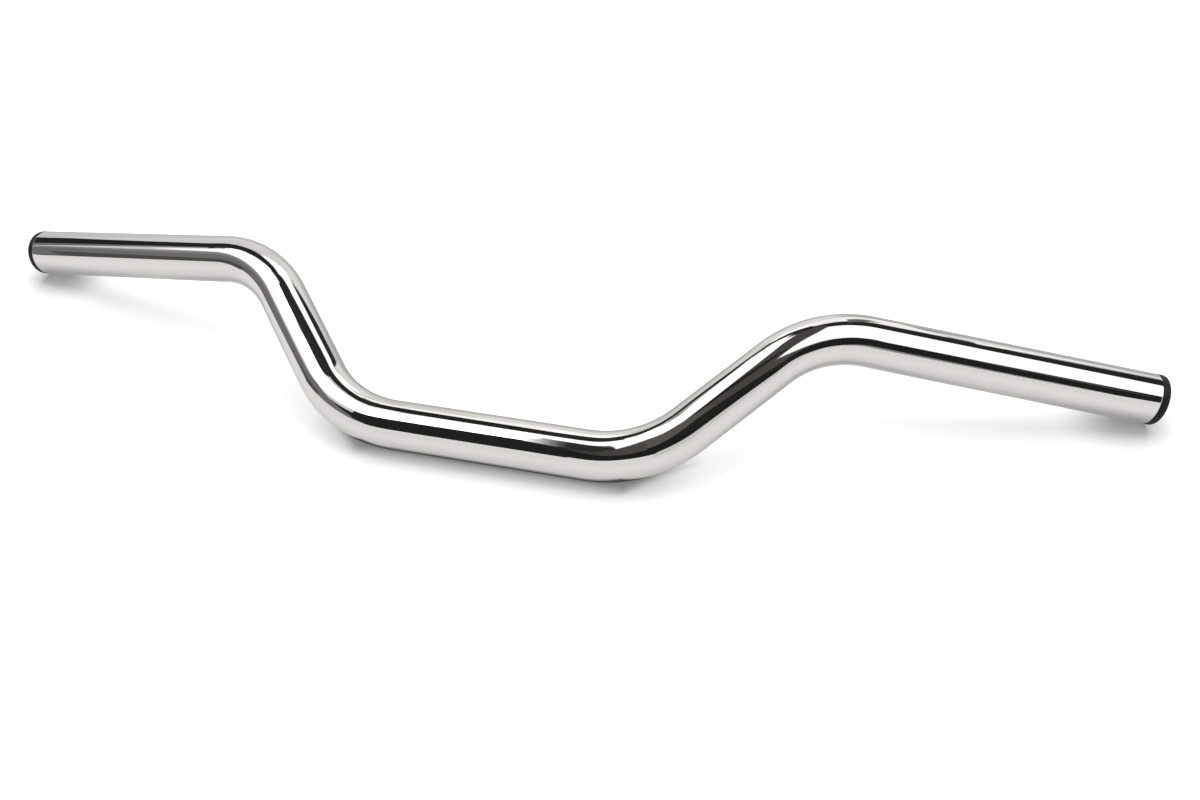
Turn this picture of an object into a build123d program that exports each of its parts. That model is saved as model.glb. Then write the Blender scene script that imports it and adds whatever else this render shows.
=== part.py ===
from build123d import *
import math
import os

# Motorcycle handlebar: one bent steel tube, closed at each end by a moulded push-in plug.
# Millimetres and degrees. The origin is on the tube's axis at the middle of the clamp section. +X runs
# along the clamp section, +Y back towards the grip ends, and +Z is up as the bar lies on a floor.

# Tube stock and the dressing of its cut ends
tube_diameter = 25.4
tube_wall = 2.5
end_round = 0.5
mouth_chamfer = 0.4

# Route of the tube from the clamp section outwards, the same on both sides
bend_radius = 60.0
clamp_straight = 100.0
riser_straight = 55.0
grip_straight = 145.0
riser_bend_angle = 50.0
grip_bend_angle = 48.0
# How far the plane of the grip bend is turned about the riser
twist_angle = 20.0

# Plug head: a short wall level with the tube, a rounded edge and a low crown
head_wall = 2.6
head_edge_radius = 1.8
head_crown_radius = 100.0

# Plug stem: a hollow spigot with a plain land under the head and tapered ribs that grip the bore
land_length = 3.0
land_clearance = 0.1
rib_count = 4
rib_gap = 1.8
rib_crest = 0.6
rib_taper = 2.0
rib_depth = 1.5
rib_clearance = 0.03
stem_tail = 1.4
stem_lead = 0.8
stem_wall = 1.8
head_skin = 2.0

# Passes of the estimate that sets the bar down on the floor
rest_passes = 12

tube_radius = tube_diameter / 2
bore_radius = tube_radius - tube_wall
clamp_along = Vector(1, 0, 0)
hanging = (Align.CENTER, Align.CENTER, Align.MAX)


def setback(bend_angle):
    # Length of straight that a bend takes from each side of its corner
    return bend_radius * math.tan(math.radians(bend_angle) / 2)


def turned(vector, direction, angle):
    return vector.rotate(Axis((0, 0, 0), direction), angle)


def mirrored(vector):
    return Vector(-vector.X, vector.Y, vector.Z)


def half_route():
    # Corners of the right half's axis, with the clamp section and the riser in the XY plane
    riser_along = turned(clamp_along, (0, 0, 1), riser_bend_angle)
    fold_axis = turned(Vector(0, 0, 1), riser_along, twist_angle)
    grip_along = turned(riser_along, fold_axis, -grip_bend_angle)
    base = clamp_along * (clamp_straight / 2 + setback(riser_bend_angle))
    elbow = base + riser_along * (setback(riser_bend_angle) + riser_straight + setback(grip_bend_angle))
    tip = elbow + grip_along * (setback(grip_bend_angle) + grip_straight)
    return [base, elbow, tip], grip_along


def rest_turn(tip, grip_along):
    # Turn about the clamp section's axis that brings the rims of both plug heads down to the floor.
    # A head's rounded edge is a ball rolled round a circle, so its lowest point lies one ball radius
    # under the lowest point of that circle.
    circle_centre = tip + grip_along * head_wall
    circle_radius = tube_radius - head_edge_radius
    reach = math.hypot(circle_centre.Y, circle_centre.Z)
    lean = math.atan2(circle_centre.Z, circle_centre.Y)
    turn = 0.0
    for _ in range(rest_passes):
        slope = turned(grip_along, clamp_along, turn).Z
        drop = circle_radius * (1 - math.sqrt(1 - slope**2))
        turn = math.degrees(math.asin(-drop / reach) - lean)
    return turn


def bent_tube(corners):
    route = FilletPolyline(*[mirrored(corner) for corner in reversed(corners)], *corners, radius=bend_radius)
    section = Circle(tube_radius) - Circle(bore_radius)
    tube = sweep(Plane(route @ 0, z_dir=route % 0) * section, path=route)
    cut_ends = tube.faces().filter_by(GeomType.PLANE)
    tube = fillet([face.outer_wire().edge() for face in cut_ends], end_round)
    cut_ends = tube.faces().filter_by(GeomType.PLANE)
    return chamfer([face.inner_wires()[0].edge() for face in cut_ends], mouth_chamfer)


def plug_head():
    # The edge's arc and the crown's arc meet where both lean by the same angle from the plug's axis
    centres_apart = head_crown_radius - head_edge_radius
    meeting_lean = math.asin((tube_radius - head_edge_radius) / centres_apart)
    crown_centre = head_wall - centres_apart * math.cos(meeting_lean)
    meeting_radius = head_crown_radius * math.sin(meeting_lean)
    meeting_height = crown_centre + head_crown_radius * math.cos(meeting_lean)
    head_height = crown_centre + head_crown_radius
    wall = Line((tube_radius, 0), (tube_radius, head_wall))
    edge = TangentArc(wall @ 1, (meeting_radius, meeting_height), tangent=wall % 1)
    crown = TangentArc(edge @ 1, (0, head_height), tangent=edge % 1)
    axis = Line(crown @ 1, (0, 0))
    seat = Line(axis @ 1, wall @ 0)
    section = make_face([wall, edge, crown, axis, seat])
    return revolve(Plane.XZ * section, Axis.Z), head_height


def plug_rib():
    # Full size under its top face, then tapered towards the end of the stem that goes in first
    crest_radius = bore_radius - rib_clearance
    crest = Cylinder(crest_radius, rib_crest, align=hanging)
    taper = Cone(crest_radius - rib_depth, crest_radius, rib_taper, align=hanging)
    return crest + Pos(0, 0, -rib_crest) * taper


def end_plug():
    # Drawn with its axis on Z, and with the face that seats on the tube's end at Z = 0
    head, head_height = plug_head()
    rib_pitch = rib_gap + rib_crest + rib_taper
    stem_length = land_length + rib_count * rib_pitch + stem_tail
    stem_radius = bore_radius - rib_clearance - rib_depth
    stem = Cylinder(stem_radius, stem_length, align=hanging)
    stem = chamfer(stem.edges().sort_by(Axis.Z)[0], stem_lead)
    land = Cylinder(bore_radius - land_clearance, land_length, align=hanging)
    ribs = [Pos(0, 0, -land_length - rib_gap - row * rib_pitch) * plug_rib() for row in range(rib_count)]
    hollow_top = head_height - head_skin
    hollow = Cylinder(stem_radius - stem_wall, hollow_top + stem_length, align=hanging)
    return head + stem + land + ribs - Pos(0, 0, hollow_top) * hollow


corners, grip_along = half_route()
tip = corners[-1]
set_down = rest_turn(tip, grip_along)
laid = Rot(set_down, 0, 0)

plug = end_plug()
nodes = {
    "handlebar_tube": laid * bent_tube(corners),
    "right_end_plug": laid * (Plane(tip, z_dir=grip_along) * plug),
    "left_end_plug": laid * (Plane(mirrored(tip), z_dir=mirrored(grip_along)) * plug),
}

os.makedirs("parts", exist_ok=True)
for name, solid in nodes.items():
    solid.label = name
    export_step(solid, f"parts/{name}.step")
    print(f"{name}: {solid.volume:.0f} mm3, lowest point {solid.bounding_box().min.Z:.3f}")
print("corners of the right half at rest", *[turned(corner, clamp_along, set_down) for corner in corners])
print("grip direction at rest", turned(grip_along, clamp_along, set_down), "turned by", round(set_down, 3))
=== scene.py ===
# Motorcycle handlebar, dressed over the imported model. Metres, in the model's own frame.
import bmesh
import bpy
from math import cos, pi, radians, sin, tan
from mathutils import Euler, Matrix, Vector


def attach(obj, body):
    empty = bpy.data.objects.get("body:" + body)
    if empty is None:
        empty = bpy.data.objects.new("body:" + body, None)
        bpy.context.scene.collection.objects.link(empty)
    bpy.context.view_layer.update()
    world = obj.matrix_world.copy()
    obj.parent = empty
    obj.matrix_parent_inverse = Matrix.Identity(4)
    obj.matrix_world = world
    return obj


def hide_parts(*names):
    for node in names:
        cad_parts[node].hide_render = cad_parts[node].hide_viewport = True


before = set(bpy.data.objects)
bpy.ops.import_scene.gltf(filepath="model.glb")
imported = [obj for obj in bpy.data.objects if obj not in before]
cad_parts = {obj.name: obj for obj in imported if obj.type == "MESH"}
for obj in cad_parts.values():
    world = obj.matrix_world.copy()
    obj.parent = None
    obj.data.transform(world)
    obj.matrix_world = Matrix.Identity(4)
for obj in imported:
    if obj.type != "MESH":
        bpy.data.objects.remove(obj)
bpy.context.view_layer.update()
print("frame loaded:", sorted(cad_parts))


# shader wiring

class Wire:
    # an output socket; sums written on it add Math nodes
    def __init__(self, tree, socket=None):
        self.tree = tree
        self.socket = socket

    def node(self, kind, settings=None, sockets=None, out=0):
        made = self.tree.nodes.new(kind)
        for name, value in (settings or {}).items():
            if name == "stops":  # a ramp's places and greys
                ramp = made.color_ramp
                while len(ramp.elements) < len(value):
                    ramp.elements.new(0.5)
                for element, (place, shade) in zip(ramp.elements, value):
                    element.position = place
                    element.color = (shade, shade, shade, 1)
            else:
                setattr(made, name, value)
        for name, value in (sockets or {}).items():
            if isinstance(value, Wire):
                self.tree.links.new(value.socket, made.inputs[name])
            else:
                made.inputs[name].default_value = value
        return Wire(self.tree, made.outputs[out] if made.outputs else None)

    def maths(self, operation, first, second):
        return self.node("ShaderNodeMath", {"operation": operation}, {0: first, 1: second})

    def __add__(self, other):
        return self.maths("ADD", self, other)

    def __sub__(self, other):
        return self.maths("SUBTRACT", self, other)

    def __mul__(self, other):
        return self.maths("MULTIPLY", self, other)

    def __radd__(self, other):
        return self.maths("ADD", other, self)

    def __rsub__(self, other):
        return self.maths("SUBTRACT", other, self)

    def __rmul__(self, other):
        return self.maths("MULTIPLY", other, self)

    def __abs__(self):
        return self.node("ShaderNodeMath", {"operation": "ABSOLUTE"}, {0: self})


def newMaterial(name):
    # an empty material; its tree, and the wire that nodes are hung on
    material = bpy.data.materials.new(name)
    material.use_nodes = True
    material.node_tree.nodes.clear()
    return material, Wire(material.node_tree)


def surfaceFrom(wire, shader):
    wire.node("ShaderNodeOutputMaterial", {}, {"Surface": shader})


def noiseAt(wire, place, size, detail, roughness=0.5):
    return wire.node("ShaderNodeTexNoise", {}, {
        "Vector": place, "Scale": size, "Detail": detail, "Roughness": roughness})


def passing(wire, value, span, ends=(0, 1), kind="SMOOTHSTEP"):
    # the first end up to the start of the span, the second from its end on
    return wire.node("ShaderNodeMapRange", {"interpolation_type": kind}, {
        "Value": value, "From Min": span[0], "From Max": span[1], "To Min": ends[0], "To Max": ends[1]})


def mixed(wire, share, first, second):
    return wire.node("ShaderNodeMix", {"data_type": "RGBA"}, {
        "Factor": share, "A": first, "B": second}, out=2)


def scaled(wire, colour, by):
    return wire.node("ShaderNodeVectorMath", {"operation": "SCALE"}, {0: colour, "Scale": by})


def glowOf(wire, colour, strength):
    return wire.node("ShaderNodeEmission", {}, {"Color": colour, "Strength": strength})


def dress(piece, material):
    piece.data.materials.clear()
    piece.data.materials.append(material)


# mesh helpers

mergeDistance = 1e-7


def finishMesh(bm, name, body=None, smooth=True):
    bmesh.ops.remove_doubles(bm, verts=bm.verts, dist=mergeDistance)
    bmesh.ops.recalc_face_normals(bm, faces=bm.faces)
    mesh = bpy.data.meshes.new(name)
    for face in bm.faces:
        face.smooth = smooth
    bm.to_mesh(mesh)
    bm.free()
    piece = bpy.data.objects.new(name, mesh)
    bpy.context.scene.collection.objects.link(piece)
    if body:
        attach(piece, body)
    return piece


# the bent tube

bar = {
    # of the axis, from the clamp section out to the right tip; the left half mirrors it
    "corners": [
        (0.0779785, 0, 0),
        (0.148487, 0.0762507, 0.0353089),
        (0.314201, 0.104517, 0.000301141),
    ],
    "bendRadius": 0.06,
    "outerRadius": 0.0127,
    "boreRadius": 0.0102,
    "endRound": 0.0005,
    "roundSegments": 4,
    "mouthChamfer": 0.0004,
    "around": 128,
    "bendStep": radians(2),
    "longestRow": 0.02,
    "endLength": 0.0012,  # in two short rows at each cut end, so the round stays in the first
    "endRows": 2,
    "near": 1e-5,  # an edge closer than this to a cut end is on its rim
}


def edgesOf(result):
    return [part for part in result if isinstance(part, bmesh.types.BMEdge)]


def pushRing(bm, edges, travel, rows):
    # carries the open ring straight on, in equal rows
    for _ in range(rows):
        grown = bmesh.ops.extrude_edge_only(bm, edges=edges)["geom"]
        verts = [part for part in grown if isinstance(part, bmesh.types.BMVert)]
        bmesh.ops.translate(bm, verts=verts, vec=travel / rows)
        edges = [edge for edge in edgesOf(grown) if edge.is_boundary]
    return edges


def bendRing(bm, edges, centre, axis, angle, steps):
    verts = list({vert for edge in edges for vert in edge.verts})
    turned = bmesh.ops.spin(
        bm, geom=verts + edges, cent=centre, axis=axis, angle=angle, steps=steps, use_duplicate=False)
    return edgesOf(turned["geom_last"])


def makeTube():
    right = [Vector(corner) for corner in bar["corners"]]
    left = [Vector((-corner.x, corner.y, corner.z)) for corner in reversed(right)]
    route = left + right
    along = (route[1] - route[0]).normalized()
    stand = Matrix.Translation(route[0]) @ along.to_track_quat("Z", "Y").to_matrix().to_4x4()
    bm = bmesh.new()
    for radius in (bar["outerRadius"], bar["boreRadius"]):
        bmesh.ops.create_circle(bm, segments=bar["around"], radius=radius, matrix=stand)
    ring = pushRing(bm, list(bm.edges), along * bar["endLength"], bar["endRows"])
    here = route[0] + along * bar["endLength"]
    for before, corner, after in zip(route, route[1:], route[2:]):
        arriving, leaving = (corner - before).normalized(), (after - corner).normalized()
        angle = arriving.angle(leaving)
        setback = bar["bendRadius"] * tan(angle / 2)
        travel = corner - arriving * setback - here
        ring = pushRing(bm, ring, travel, max(1, round(travel.length / bar["longestRow"])))
        inward = (leaving - arriving * leaving.dot(arriving)).normalized()
        centre = corner - arriving * setback + inward * bar["bendRadius"]
        ring = bendRing(bm, ring, centre, arriving.cross(leaving), angle, round(angle / bar["bendStep"]))
        here = corner + leaving * setback
    travel = route[-1] - here - leaving * bar["endLength"]
    ring = pushRing(bm, ring, travel, round(travel.length / bar["longestRow"]))
    pushRing(bm, ring, leaving * bar["endLength"], bar["endRows"])
    for side in (-1, 1):  # closes the wall at each cut end
        mouth = [edge for edge in bm.edges if edge.is_boundary and edge.verts[0].co.x * side > 0]
        bmesh.ops.bridge_loops(bm, edges=mouth)
    bmesh.ops.recalc_face_normals(bm, faces=bm.faces)
    near = bar["near"]
    for tip, outward in ((route[0], -along), (route[-1], leaving)):
        rim = [edge for edge in bm.edges
               if all(abs((vert.co - tip).dot(outward)) < near for vert in edge.verts)]
        outer = [edge for edge in rim
                 if all((vert.co - tip).length > bar["outerRadius"] - near for vert in edge.verts)]
        inner = [edge for edge in rim
                 if all((vert.co - tip).length < bar["boreRadius"] + near for vert in edge.verts)]
        for edges, offset, segments in (
                (outer, bar["endRound"], bar["roundSegments"]), (inner, bar["mouthChamfer"], 1)):
            bmesh.ops.bevel(
                bm, geom=edges, offset=offset, segments=segments, profile=0.5, affect="EDGES", material=-1)
    tube = finishMesh(bm, "chromedTube", "root")
    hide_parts("handlebar_tube")
    return tube


# finishes

chrome = {
    "colour": (0.68, 0.661, 0.645, 1),
    "roughness": 0.035,
    "haze": 0.02,  # what a faint wiping haze adds to it
    "hazeSize": 35,
    "hazeDetail": 5,
    "hazeRoughness": 0.6,
    "waveSize": 60,  # the slight unevenness of polished tube
    "waveDetail": 1,
    "waveHeight": 0.000004,
}


def chromeFinish():
    material, wire = newMaterial("brightChrome")
    place = wire.node("ShaderNodeTexCoord", out="Object")
    haze = noiseAt(wire, place, chrome["hazeSize"], chrome["hazeDetail"], chrome["hazeRoughness"])
    wave = noiseAt(wire, place, chrome["waveSize"], chrome["waveDetail"])
    bump = wire.node("ShaderNodeBump", {}, {"Height": wave, "Distance": chrome["waveHeight"], "Strength": 1})
    shader = wire.node("ShaderNodeBsdfPrincipled", {}, {
        "Base Color": chrome["colour"],
        "Metallic": 1,
        "Roughness": chrome["roughness"] + chrome["haze"] * haze,
        "Normal": bump,
    })
    surfaceFrom(wire, shader)
    return material


plastic = {
    "colour": (0.012, 0.012, 0.013, 1),
    "dust": (0.035, 0.034, 0.033, 1),
    "dustStops": [(0.45, 0), (0.75, 1)],
    "dustShare": 0.5,
    "grainSize": 2600,
    "grainDetail": 3,
    "grainHeight": 0.00004,
    "grainStrength": 0.5,
    "scuffSize": 240,
    "scuffDetail": 6,
    "scuffRoughness": 0.7,
    "roughness": 0.42,
    "scuffed": 0.15,  # what the scuffs add to the roughness
    "shine": 0.2,
}


def plasticFinish():
    material, wire = newMaterial("blackPlastic")
    place = wire.node("ShaderNodeTexCoord", out="Object")
    grain = noiseAt(wire, place, plastic["grainSize"], plastic["grainDetail"])
    scuffs = noiseAt(wire, place, plastic["scuffSize"], plastic["scuffDetail"], plastic["scuffRoughness"])
    wear = wire.node("ShaderNodeValToRGB", {"stops": plastic["dustStops"]}, {"Fac": scuffs})
    colour = mixed(wire, wear * plastic["dustShare"], plastic["colour"], plastic["dust"])
    bump = wire.node("ShaderNodeBump", {}, {
        "Height": grain, "Distance": plastic["grainHeight"], "Strength": plastic["grainStrength"]})
    shader = wire.node("ShaderNodeBsdfPrincipled", {}, {
        "Base Color": colour,
        "Roughness": plastic["roughness"] + plastic["scuffed"] * scuffs,
        "Specular IOR Level": plastic["shine"],
        "Normal": bump,
    })
    surfaceFrom(wire, shader)
    return material


# studio

white = (1, 1, 1, 1)

table = {
    "level": -0.0127,
    "halfSide": 6.0,
    "colour": (0.93, 0.93, 0.93, 1),
    "lift": 0.46,  # a glow that brings the lit table to white for the camera
    "fadeOut": (0.7, 1.6),  # from the middle: past it the table is plain white
    # the bar's run over the table, measured out from the middle
    "raised": (0.075, 0.11),  # where it leaves the table
    "bend": (0.07, 0.16),  # where it bends back, and how far back it gets
    "bendBack": 0.085,
    # painted shadow and painted light that the camera sees, over the lamp's real shadow
    "shadowLine": (0.004, 0.014),  # painted contact shadow along the clamp section fades over this, from its shade
    "shadowLineShade": 0.25,
    "softer": 0.35,  # under the raised parts this share of the lit table gives way to a painted glow, which lightens the lamp's shadow there
    "softGlow": 0.55,  # how bright that glow is
    "tip": (0.306, 0.105, 0),  # centre of a painted dark spot, a contact shadow, where a plug touches the table
    "tipReach": 0.038,
    "tipShade": 0.25,
    # what the chrome sees of the table, painted with light and shade: a glow in front of the bar, painted
    # shade behind it, and painted shadow under it
    "frontColour": (0.42, 0.42, 0.42, 1),
    "frontLift": 0.63,
    "behindShade": (0.5, 0.498, 0.487, 1),
    "behindDepth": 0.06,
    "contact": (0.0085, 0.0155),  # painted contact shadow under the clamp section
    "contactShade": 0.12,
    "under": (0, 0.035),  # painted shadow under the raised parts
    "underShade": 0.66,
    "underBend": (0.08, 0.24),
    "underShift": 0.018,
    "underTip": (0.25, 0.32),  # towards the tips the painted shadow gets this shade
    "underTipShade": 0.6,
}


def rayIs(wire, kind):
    return wire.node("ShaderNodeLightPath", out=kind)


def makeTable():
    bm = bmesh.new()
    level = Matrix.Translation((0, 0, table["level"]))
    bmesh.ops.create_grid(bm, x_segments=1, y_segments=1, size=table["halfSide"], matrix=level)
    floor = finishMesh(bm, "tableTop", smooth=False)
    material, wire = newMaterial("paleTable")
    direct = rayIs(wire, "Is Camera Ray") + rayIs(wire, "Is Transmission Ray")
    mirrored = rayIs(wire, "Is Glossy Ray")
    place = wire.node("ShaderNodeTexCoord", out="Object")
    across = abs(wire.node("ShaderNodeSeparateXYZ", {}, {"Vector": place}, out="X"))
    depth = wire.node("ShaderNodeSeparateXYZ", {}, {"Vector": place}, out="Y")

    # how far behind the bar's run a point of the table lies, and the painted shadow lines along that run
    bentBack = passing(wire, across, table["bend"], (0, table["bendBack"]), "LINEAR")
    depth = depth - bentBack
    # how far into the painted shade behind the bar
    behind = passing(wire, depth, (0, table["behindDepth"]))
    apart = abs(depth)
    # painted contact shadow, painted shadow line for the camera, and painted shadow under the raised parts
    contact = passing(wire, apart, table["contact"], (table["contactShade"], 1))
    shadowLine = passing(wire, apart, table["shadowLine"], (table["shadowLineShade"], 1))
    underShade = passing(wire, across, table["underTip"], (table["underShade"], table["underTipShade"]))
    underBack = passing(wire, across, table["underBend"], (0, table["bendBack"]), "LINEAR")
    underApart = abs(depth + bentBack - underBack - table["underShift"])
    under = passing(wire, underApart, table["under"], (underShade, 1))
    raised = passing(wire, across, table["raised"])
    clear = contact + raised * (under - contact)
    shadowLine = wire.maths("MAXIMUM", shadowLine, raised)

    # the matt table, in one colour for the camera, less of it under the raised parts, and with painted shade
    # and shadow for the chrome
    shown = mixed(wire, behind, table["frontColour"], table["behindShade"])
    shown = scaled(wire, shown, clear)
    # painted glow for the camera that lightens the lamp's shadow under the raised parts
    softer = direct * raised * table["softer"]
    plain = scaled(wire, table["colour"][:3], 1 - softer)
    matt = wire.node("ShaderNodeBsdfDiffuse", {}, {"Color": mixed(wire, mirrored, plain, shown)})

    # the glow on top of it, with a painted shadow line along the clamp section and a painted dark spot round
    # each tip; for the chrome a painted glow in front of the bar
    folded = wire.node("ShaderNodeCombineXYZ", {}, {"X": across, "Y": depth + bentBack})
    tipApart = wire.node("ShaderNodeVectorMath", {"operation": "DISTANCE"}, {
        0: folded, 1: table["tip"]}, out="Value")
    tip = passing(wire, tipApart, (0, table["tipReach"]), (table["tipShade"], 1))
    lifted = shadowLine * tip * (direct * table["lift"] + softer * table["softGlow"])
    lifted = lifted + mirrored * (1 - behind) * clear * table["frontLift"]
    near = wire.node("ShaderNodeAddShader", {}, {0: matt, 1: glowOf(wire, white, lifted)})

    outwards = wire.node("ShaderNodeVectorMath", {"operation": "LENGTH"}, {0: place}, out="Value")
    far = passing(wire, outwards, table["fadeOut"])
    surfaceFrom(wire, wire.node("ShaderNodeMixShader", {}, {0: far, 1: near, 2: glowOf(wire, white, 1)}))
    dress(floor, material)


sky = {"seen": 1.0, "fill": 0.06}  # strength for the camera and the chrome, and for the rest


def makeSurround():
    world = bpy.data.worlds.new("studio")
    bpy.context.scene.world = world
    world.use_nodes = True
    world.node_tree.nodes.clear()
    wire = Wire(world.node_tree)
    seen = rayIs(wire, "Is Camera Ray") + rayIs(wire, "Is Glossy Ray") + rayIs(wire, "Is Transmission Ray")
    seen = wire.maths("MINIMUM", seen, 1)
    strength = seen * sky["seen"] + (1 - seen) * sky["fill"]
    light = wire.node("ShaderNodeBackground", {}, {"Color": white, "Strength": strength})
    wire.node("ShaderNodeOutputWorld", {}, {"Surface": light})


# lamps light the table and the plugs; the chrome sees the cards instead
lamps = {
    "softKey": {"place": (0, 1.2, 2.05), "target": (0, 0.05, 0), "size": (3.6, 3.2), "glow": 2.85},
}


def facingMatrix(place, target):
    look = Vector(target) - Vector(place)
    return Matrix.Translation(place) @ look.to_track_quat("-Z", "Y").to_matrix().to_4x4()


def makeLamps():
    for name, lamp in lamps.items():
        light = bpy.data.lights.new(name, "AREA")
        light.shape = "RECTANGLE"
        light.size, light.size_y = lamp["size"]
        light.energy = lamp["glow"] * pi * lamp["size"][0] * lamp["size"][1]
        hung = bpy.data.objects.new(name, light)
        hung.matrix_world = facingMatrix(lamp["place"], lamp["target"])
        hung.visible_camera = hung.visible_glossy = False
        bpy.context.scene.collection.objects.link(hung)


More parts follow.
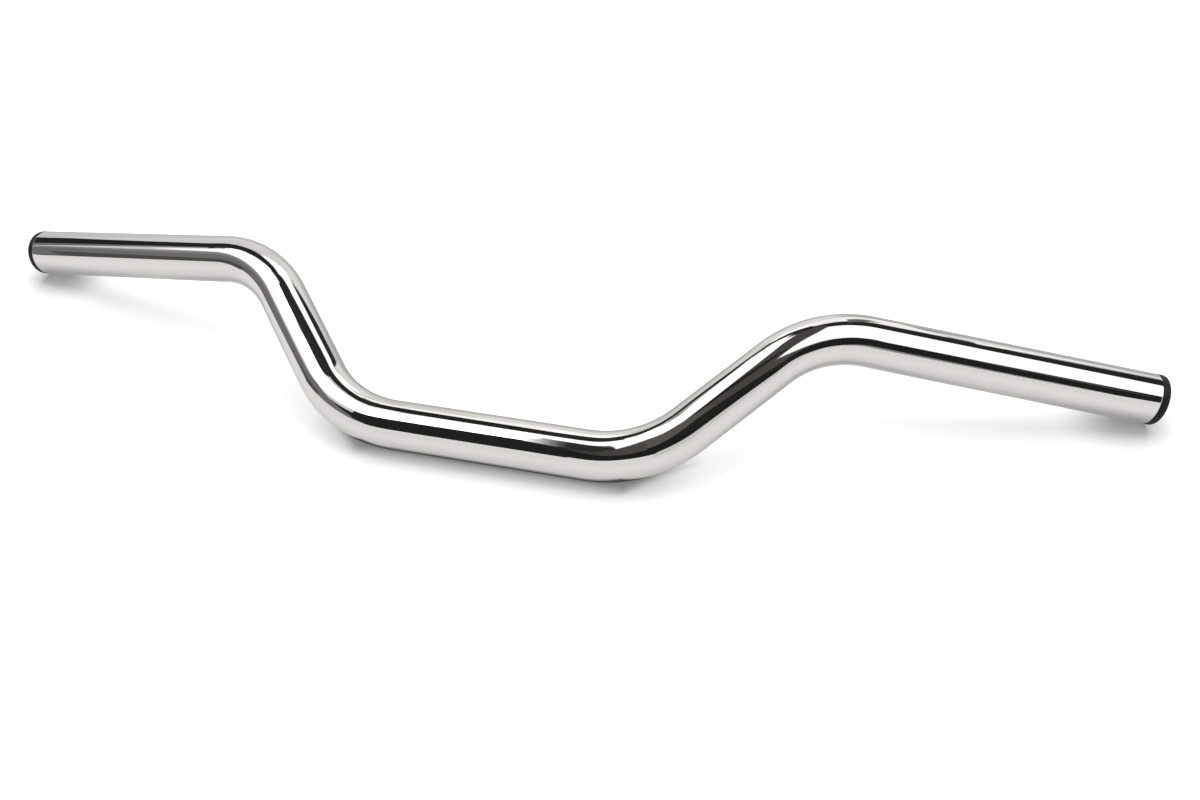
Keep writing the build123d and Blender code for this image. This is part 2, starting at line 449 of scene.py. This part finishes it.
# white, grey and black cards that only the glossy surfaces see: centre, turn in degrees,
# half width and half depth, how each pair of sides closes towards one end, how bright, and its tint
cards = {
    "blackFront": {
        "place": (-0.190, -0.720, 1.016), "turn": (2.5, 4.3, -172.5), "half": (2.003, 1.905),
        "taper": (0.06, 0.09), "shade": 0.022, "tint": (1.01, 1.03, 0.97)},
    "whiteRight": {
        "place": (0.321, 0.081, 0.231), "turn": (-61.1, 10.4, -123.4), "half": (0.128, 0.184),
        "taper": (-0.03, -0.68), "shade": 1.600},
    "darkGreyLeft": {
        "place": (-0.878, -0.008, 0.456), "turn": (-101.0, 37.8, 113.7), "half": (0.226, 0.475),
        "taper": (0.73, -0.20), "shade": 0.212},
    "blackFront2": {
        "place": (-0.263, -0.625, 0.609), "turn": (-75.2, -7.1, -177.6), "half": (1.420, 0.240),
        "taper": (-0.13, -0.04), "shade": 0.019},
    "whiteBack": {
        "place": (-0.198, 1.309, 1.193), "turn": (-50.5, -9.1, 47.0), "half": (0.493, 0.494),
        "taper": (-0.14, -0.18), "shade": 1.116},
    "blackBack": {
        "place": (0.428, 1.653, 0.953), "turn": (-78.0, 2.1, -62.9), "half": (0.184, 0.474),
        "taper": (0.14, 0.10), "shade": 0.029},
    "whiteLeft": {
        "place": (-0.482, -0.025, 0.718), "turn": (-6.9, 27.5, 176.9), "half": (0.354, 0.348),
        "taper": (-0.03, -0.18), "shade": 3.736},
    "greyLeft": {
        "place": (-0.560, -0.115, 0.878), "turn": (62.7, -22.7, -81.0), "half": (0.409, 0.550),
        "taper": (-0.08, -0.28), "shade": 0.841},
    "blackBack2": {
        "place": (-0.095, 0.139, 0.278), "turn": (-6.5, -37.7, 27.3), "half": (0.133, 0.051),
        "taper": (0.06, 0.31), "shade": 0.021},
    "whiteBack2": {
        "place": (0.042, 0.228, 0.246), "turn": (-18.8, -24.6, 86.7), "half": (0.226, 0.061),
        "taper": (-0.61, 0.39), "shade": 1.600},
    "whiteOver": {
        "place": (-0.112, 0.297, 0.837), "turn": (13.7, 22.9, 85.4), "half": (0.480, 0.176),
        "taper": (-0.05, 0.16), "shade": 1.600},
    "greyBack": {
        "place": (0.581, 0.810, 0.033), "turn": (75.8, -15.5, 162.4), "half": (0.476, 0.148),
        "taper": (0.13, -0.04), "shade": 0.563},
    "greyBack2": {
        "place": (-0.247, 0.661, -0.104), "turn": (67.3, -8.8, -122.7), "half": (0.468, 0.244),
        "taper": (0.28, -0.39), "shade": 0.740},
    "blackRight": {
        "place": (0.410, 0.298, 0.597), "turn": (77.8, 45.1, 129.2), "half": (0.212, 0.288),
        "taper": (-0.41, 0.51), "shade": 0.025},
    "whiteLeft2": {
        "place": (-0.289, 0.322, 0.213), "turn": (59.8, 32.5, -102.0), "half": (0.215, 0.071),
        "taper": (-0.33, -0.27), "shade": 0.873},
    "whiteBack3": {
        "place": (0.180, 0.390, 0.281), "turn": (-17.6, 41.8, 13.4), "half": (0.159, 0.095),
        "taper": (0.16, 0.18), "shade": 1.287},
    "darkGreyLeft2": {
        "place": (-0.670, -0.154, 0.101), "turn": (73.5, -8.6, -24.1), "half": (0.139, 0.059),
        "taper": (0.29, -0.24), "shade": 0.097},
    "whiteLeft3": {
        "place": (-0.696, -0.049, 0.493), "turn": (91.4, 63.0, -80.9), "half": (0.098, 0.166),
        "taper": (-0.02, 0.06), "shade": 1.600},
    "brownBack": {
        "place": (0.090, 0.245, 0.353), "turn": (57.0, 39.7, 177.7), "half": (0.075, 0.051),
        "taper": (-0.31, -0.02), "shade": 0.053, "tint": (1.12, 1.00, 0.88)},
    "greyLeft2": {
        "place": (-0.167, 0.107, 0.395), "turn": (-29.0, 15.0, -149.5), "half": (0.077, 0.030),
        "taper": (0.59, -0.56), "shade": 0.729},
    "brownOver": {
        "place": (-0.056, 0.208, 0.957), "turn": (-21.7, 4.8, -0.4), "half": (0.674, 0.708),
        "taper": (0.10, 0.06), "shade": 0.081, "tint": (1.06, 1.01, 0.93)},
    "darkGreyFront": {
        "place": (1.153, -1.473, 0.466), "turn": (90.6, -17.3, 16.1), "half": (0.160, 0.165),
        "taper": (-0.85, 0.14), "shade": 0.345},
    "whiteBack4": {
        "place": (0.456, 0.559, 0.289), "turn": (6.5, 51.3, 59.6), "half": (0.086, 0.035),
        "taper": (-0.53, -0.03), "shade": 1.274},
    "brownFront": {
        "place": (0.114, -0.151, 0.385), "turn": (-3.5, 31.2, -99.0), "half": (0.126, 0.085),
        "taper": (-0.32, -0.10), "shade": 0.125, "tint": (1.06, 1.00, 0.94)},
    "greyRight": {
        "place": (0.210, -0.170, 0.068), "turn": (46.3, -1.4, 107.0), "half": (0.111, 0.036),
        "taper": (-0.82, 0.10), "shade": 0.820},
    "whiteBack5": {
        "place": (-0.455, 0.671, 0.898), "turn": (43.2, 65.0, -170.0), "half": (0.231, 0.043),
        "taper": (-0.29, 0.19), "shade": 0.886},
    "whiteBack6": {
        "place": (-0.209, 0.260, 0.245), "turn": (-7.3, 44.9, 59.7), "half": (0.051, 0.062),
        "taper": (0.03, 0.57), "shade": 1.331},
    "darkGreyLeft3": {
        "place": (-0.728, -0.036, 0.312), "turn": (51.3, 34.7, -156.5), "half": (0.057, 0.095),
        "taper": (-0.08, 0.84), "shade": 0.310},
    "greyBack3": {
        "place": (-0.355, 0.539, 0.736), "turn": (-35.6, 16.2, 92.3), "half": (0.092, 0.084),
        "taper": (-0.10, 0.15), "shade": 0.605},
    "whiteOver2": {
        "place": (-0.209, 0.138, 0.712), "turn": (-3.9, 26.6, -131.5), "half": (0.119, 0.045),
        "taper": (0.14, 0.03), "shade": 1.600},
    "darkGreyBack": {
        "place": (0.234, 0.356, 0.252), "turn": (12.9, 34.2, 60.5), "half": (0.062, 0.036),
        "taper": (-0.61, -0.15), "shade": 0.184, "tint": (1.02, 1.02, 0.96)},
    "greyBack4": {
        "place": (0.728, 0.879, 0.592), "turn": (-38.0, 39.5, 21.2), "half": (0.115, 0.053),
        "taper": (0.27, 0.21), "shade": 0.500},
    "whiteBack7": {
        "place": (-0.222, 0.702, 0.727), "turn": (-26.3, -4.9, 1.9), "half": (0.120, 0.072),
        "taper": (0.00, 0.17), "shade": 1.254},
    "whiteBack8": {
        "place": (-0.034, 0.574, 0.518), "turn": (-40.9, -20.5, -11.3), "half": (0.183, 0.050),
        "taper": (-0.20, -0.24), "shade": 1.600},
    "whiteBack9": {
        "place": (-0.228, 0.882, 0.542), "turn": (-54.5, -24.3, -19.4), "half": (0.193, 0.100),
        "taper": (-0.24, 0.41), "shade": 1.100},
    "darkGreyBack2": {
        "place": (-0.344, 0.414, 0.351), "turn": (-64.4, -22.8, 29.3), "half": (0.114, 0.067),
        "taper": (-0.19, 0.06), "shade": 0.205},
    "greyBack5": {
        "place": (-0.293, 0.456, 0.274), "turn": (-79.3, 50.2, 29.2), "half": (0.412, 0.036),
        "taper": (-0.54, -0.09), "shade": 0.841, "tint": (1.01, 1.01, 0.97)},
    "brownRight": {
        "place": (0.171, -0.084, 0.532), "turn": (-4.1, -53.4, -174.2), "half": (0.469, 0.055),
        "taper": (-0.17, 0.42), "shade": 0.085, "tint": (1.07, 1.00, 0.93)},
    "greyLeft3": {
        "place": (-0.333, 0.349, 0.330), "turn": (-57.7, -0.3, 40.5), "half": (0.117, 0.030),
        "taper": (0.04, 0.05), "shade": 0.418},
    "greyBack6": {
        "place": (-0.190, 0.476, 0.405), "turn": (19.2, 59.8, 130.4), "half": (0.090, 0.033),
        "taper": (-0.11, -0.03), "shade": 0.707},
    "whiteBack10": {
        "place": (-0.339, 0.855, 0.410), "turn": (-21.4, 66.4, 98.8), "half": (0.258, 0.067),
        "taper": (0.08, 0.48), "shade": 0.968, "tint": (1.02, 1.01, 0.97)},
}


# narrow glowing strips close to the bar, seen only in the chrome's reflections, for its thin reflected
# lines:
# the two long sides, and how bright, or from how bright to how bright the strip fades along its length
ribbons = {
    "thinEdgeRight": {
        "upper": [
            (0.0164, 0.0254, 0.0476), (0.0343, 0.0271, 0.0467), (0.0480, 0.0293, 0.0452),
            (0.0568, 0.0356, 0.0431), (0.0627, 0.0455, 0.0399), (0.0708, 0.0565, 0.0424),
            (0.0827, 0.0682, 0.0489), (0.0948, 0.0789, 0.0566), (0.1128, 0.0875, 0.0698),
            (0.1427, 0.0970, 0.0786),
        ],
        "lower": [
            (0.0164, 0.0088, 0.0543), (0.0343, 0.0105, 0.0542), (0.0497, 0.0146, 0.0533),
            (0.0599, 0.0245, 0.0518), (0.0654, 0.0382, 0.0485), (0.0738, 0.0495, 0.0519),
            (0.0856, 0.0615, 0.0577), (0.0971, 0.0739, 0.0629), (0.1162, 0.0816, 0.0752),
            (0.1485, 0.0864, 0.0842),
        ],
        "shade": 0.025,
    },
    "thinEdgeLeft": {
        "upper": [
            (-0.2147, 0.0975, 0.0638), (-0.1990, 0.0977, 0.0688), (-0.1795, 0.0973, 0.0738),
            (-0.1581, 0.0913, 0.0779), (-0.1374, 0.0808, 0.0795), (-0.1207, 0.0740, 0.0751),
        ],
        "lower": [
            (-0.2184, 0.0774, 0.0650), (-0.2038, 0.0813, 0.0702), (-0.1860, 0.0830, 0.0756),
            (-0.1662, 0.0789, 0.0798), (-0.1460, 0.0709, 0.0815), (-0.1331, 0.0607, 0.0792),
        ],
        "shade": 0.025,
    },
    "whiteBandLeft": {
        "upper": [
            (-0.2056, 0.0806, 0.0704), (-0.1907, 0.0823, 0.0752), (-0.1744, 0.0807, 0.0792),
            (-0.1575, 0.0753, 0.0818), (-0.1402, 0.0639, 0.0822),
        ],
        "lower": [
            (-0.2091, 0.0648, 0.0645), (-0.1991, 0.0622, 0.0660), (-0.1892, 0.0580, 0.0665),
            (-0.1796, 0.0524, 0.0664), (-0.1715, 0.0438, 0.0630),
        ],
        "shade": 1.6,
    },
    "softTip": {
        "upper": [
            (0.0104, -0.0163, 0.0526), (0.0141, -0.0145, 0.0531), (0.0178, -0.0119, 0.0537),
            (0.0215, -0.0096, 0.0542), (0.0252, -0.0081, 0.0544), (0.0289, -0.0073, 0.0545),
            (0.0326, -0.0070, 0.0546), (0.0357, -0.0070, 0.0547),
        ],
        "lower": [
            (0.0104, -0.0270, 0.0483), (0.0141, -0.0275, 0.0481), (0.0178, -0.0280, 0.0479),
            (0.0215, -0.0287, 0.0475), (0.0252, -0.0297, 0.0470), (0.0289, -0.0311, 0.0462),
            (0.0326, -0.0329, 0.0451), (0.0357, -0.0352, 0.0433),
        ],
        "fade": (1.6, 0.035),
    },
    "softEnd": {
        "upper": [
            (0.0332, -0.0070, 0.0546), (0.0413, -0.0070, 0.0547), (0.0490, -0.0101, 0.0546),
            (0.0537, -0.0149, 0.0539), (0.0590, -0.0193, 0.0528),
        ],
        "lower": [
            (0.0332, -0.0352, 0.0433), (0.0412, -0.0352, 0.0434), (0.0520, -0.0363, 0.0431),
            (0.0576, -0.0363, 0.0431), (0.0632, -0.0358, 0.0434),
        ],
        "shade": 0.035,
    },
    "brownEnd": {
        "upper": [
            (0.0291, -0.0283, 0.0468), (0.0402, -0.0242, 0.0491), (0.0535, -0.0219, 0.0506),
            (0.0650, -0.0179, 0.0525), (0.0757, -0.0067, 0.0564),
        ],
        "lower": [
            (0.0291, -0.0330, 0.0436), (0.0402, -0.0368, 0.0408), (0.0565, -0.0392, 0.0391),
            (0.0722, -0.0377, 0.0394), (0.0903, -0.0307, 0.0427),
        ],
        "fade": (0.03, 0.095), "tint": (1.0, 0.93, 0.88),
    },
    "greyElbow": {
        "upper": [
            (-0.1776, 0.1118, 0.0644), (-0.1632, 0.1143, 0.0613), (-0.1495, 0.1135, 0.0591),
            (-0.1361, 0.1097, 0.0584), (-0.1251, 0.1052, 0.0576),
        ],
        "lower": [
            (-0.1832, 0.0989, 0.0729), (-0.1708, 0.0984, 0.0749), (-0.1562, 0.0994, 0.0745),
            (-0.1395, 0.1016, 0.0697), (-0.1268, 0.1002, 0.0653),
        ],
        "shade": 0.93,
    },
    "wedgeElbow": {
        "upper": [
            (-0.1589, 0.0962, 0.0758), (-0.1463, 0.0983, 0.0734), (-0.1333, 0.0977, 0.0701),
            (-0.1185, 0.0943, 0.0652),
        ],
        "lower": [
            (-0.1609, 0.0926, 0.0774), (-0.1532, 0.0872, 0.0792), (-0.1443, 0.0812, 0.0803),
            (-0.1320, 0.0749, 0.0799),
        ],
        "shade": 1.6,
    },
    "darkRiserLeft": {
        "upper": [
            (-0.1288, 0.0751, 0.0809), (-0.1145, 0.0663, 0.0743), (-0.0999, 0.0573, 0.0670),
            (-0.0873, 0.0477, 0.0606), (-0.0863, 0.0402, 0.0605), (-0.0873, 0.0351, 0.0599),
            (-0.0881, 0.0308, 0.0599),
        ],
        "lower": [
            (-0.1439, 0.0603, 0.0826), (-0.1332, 0.0476, 0.0774), (-0.1215, 0.0349, 0.0722),
            (-0.1104, 0.0233, 0.0673), (-0.1058, 0.0187, 0.0652), (-0.1020, 0.0157, 0.0634),
            (-0.0969, 0.0177, 0.0625),
        ],
        "shade": 0.026,
    },
    "thinLineClamp": {
        "upper": [
            (-0.0808, 0.0311, 0.0525), (-0.0773, 0.0283, 0.0506), (-0.0728, 0.0281, 0.0479),
            (-0.0673, 0.0295, 0.0445), (-0.0515, 0.0277, 0.0456), (-0.0270, 0.0274, 0.0465),
            (-0.0023, 0.0272, 0.0471), (0.0211, 0.0267, 0.0480), (0.0384, 0.0275, 0.0477),
            (0.0468, 0.0286, 0.0469), (0.0532, 0.0326, 0.0452),
        ],
        "lower": [
            (-0.0866, 0.0163, 0.0576), (-0.0817, 0.0121, 0.0561), (-0.0754, 0.0107, 0.0547),
            (-0.0680, 0.0111, 0.0534), (-0.0516, 0.0095, 0.0539), (-0.0270, 0.0085, 0.0546),
            (-0.0024, 0.0080, 0.0552), (0.0211, 0.0077, 0.0556), (0.0384, 0.0088, 0.0557),
            (0.0486, 0.0113, 0.0553), (0.0566, 0.0178, 0.0545),
        ],
        "shade": 0.022,
    },
    "whiteOverLine": {
        "upper": [
            (-0.0696, 0.0360, 0.0411), (-0.0641, 0.0363, 0.0388), (-0.0457, 0.0373, 0.0383),
            (-0.0211, 0.0377, 0.0386), (0.0036, 0.0381, 0.0389), (0.0234, 0.0384, 0.0391),
        ],
        "lower": [
            (-0.0700, 0.0296, 0.0465), (-0.0642, 0.0262, 0.0474), (-0.0457, 0.0258, 0.0482),
            (-0.0211, 0.0255, 0.0490), (0.0036, 0.0254, 0.0496), (0.0234, 0.0246, 0.0504),
        ],
        "shade": 1.35,
    },
    "darkBandClamp": {
        "upper": [
            (-0.0914, -0.0273, 0.0441), (-0.0697, -0.0254, 0.0492), (-0.0455, -0.0261, 0.0497),
            (-0.0147, -0.0261, 0.0505), (0.0100, -0.0259, 0.0510), (0.0347, -0.0259, 0.0515),
        ],
        "lower": [
            (-0.0977, -0.0410, 0.0224), (-0.0714, -0.0508, 0.0201), (-0.0455, -0.0527, 0.0193),
            (-0.0147, -0.0533, 0.0195), (0.0100, -0.0536, 0.0200), (0.0347, -0.0539, 0.0201),
        ],
        "shade": 0.022,
    },
}


def hangCard(bm, name, card):
    sheet = finishMesh(bm, name, smooth=False)
    sheet.visible_camera = sheet.visible_diffuse = False
    sheet.visible_shadow = sheet.visible_transmission = False
    material, wire = newMaterial(name)
    colour = (*card.get("tint", (1, 1, 1)), 1)
    if "fade" in card:
        fade = wire.node("ShaderNodeAttribute", {"attribute_name": "fade"}, out="Fac")
        colour = scaled(wire, colour[:3], fade)
    surfaceFrom(wire, glowOf(wire, colour, card.get("shade", 1)))
    dress(sheet, material)


def makeCards():
    for name, card in cards.items():
        bm = bmesh.new()
        bmesh.ops.create_grid(bm, x_segments=1, y_segments=1, size=1)
        closeX, closeY = card["taper"]
        for corner in bm.verts:
            sideX, sideY = corner.co.x, corner.co.y
            corner.co.y = sideY * (1 + sideX * closeY) / (1 - sideX * sideY * closeX * closeY)
            corner.co.x = sideX * (1 + closeX * corner.co.y)
        bmesh.ops.scale(bm, verts=bm.verts, vec=(*card["half"], 1))
        turn = Euler([radians(angle) for angle in card["turn"]]).to_matrix().to_4x4()
        bmesh.ops.transform(bm, verts=bm.verts, matrix=Matrix.Translation(card["place"]) @ turn)
        hangCard(bm, name, card)
    for name, ribbon in ribbons.items():
        bm = bmesh.new()
        fade = bm.verts.layers.float.new("fade")
        bmesh.ops.create_grid(bm, x_segments=len(ribbon["upper"]) - 1, y_segments=1, size=1)
        corners = sorted(bm.verts, key=lambda vert: (vert.co.y, vert.co.x))
        first, last = ribbon.get("fade", (1, 1))
        for vert, place in zip(corners, ribbon["upper"] + ribbon["lower"]):
            vert[fade] = last + (first - last) * ((1 - vert.co.x) / 2) ** 2
            vert.co = place
        hangCard(bm, name, ribbon)


# camera, at the photograph's angle; azimuth, drop (how far it looks down) and roll in radians

view = {
    "place": (0.15709, -0.42517, 0.3962),
    "azimuth": -0.3061,
    "drop": 0.7746,
    "roll": -0.0515,
    "lens": 36.206,
    "sensor": 36,
    "shift": (0.0536, 0.0873),
}


def makeCamera():
    azimuth, drop, roll = view["azimuth"], view["drop"], view["roll"]
    look = Vector((sin(azimuth) * cos(drop), cos(azimuth) * cos(drop), -sin(drop)))
    level = look.cross(Vector((0, 0, 1))).normalized()
    upward = level.cross(look)
    across = level * cos(roll) + upward * sin(roll)
    above = upward * cos(roll) - level * sin(roll)
    turn = Matrix((across, above, -look)).transposed().to_4x4()
    camera = bpy.data.objects.new("camera", bpy.data.cameras.new("camera"))
    camera.data.lens = view["lens"]
    camera.data.sensor_width = view["sensor"]
    camera.data.shift_x, camera.data.shift_y = view["shift"]
    camera.matrix_world = Matrix.Translation(view["place"]) @ turn
    bpy.context.scene.collection.objects.link(camera)
    bpy.context.scene.camera = camera


bpy.context.scene.view_settings.view_transform = "Standard"
makeCamera()
tube = makeTube()
dress(tube, chromeFinish())
print("tube made:", len(tube.data.polygons), "faces")
blackPlastic = plasticFinish()
for plugName in ("right_end_plug", "left_end_plug"):
    dress(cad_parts[plugName], blackPlastic)
makeTable()
makeSurround()
makeLamps()
makeCards()
print("studio made")
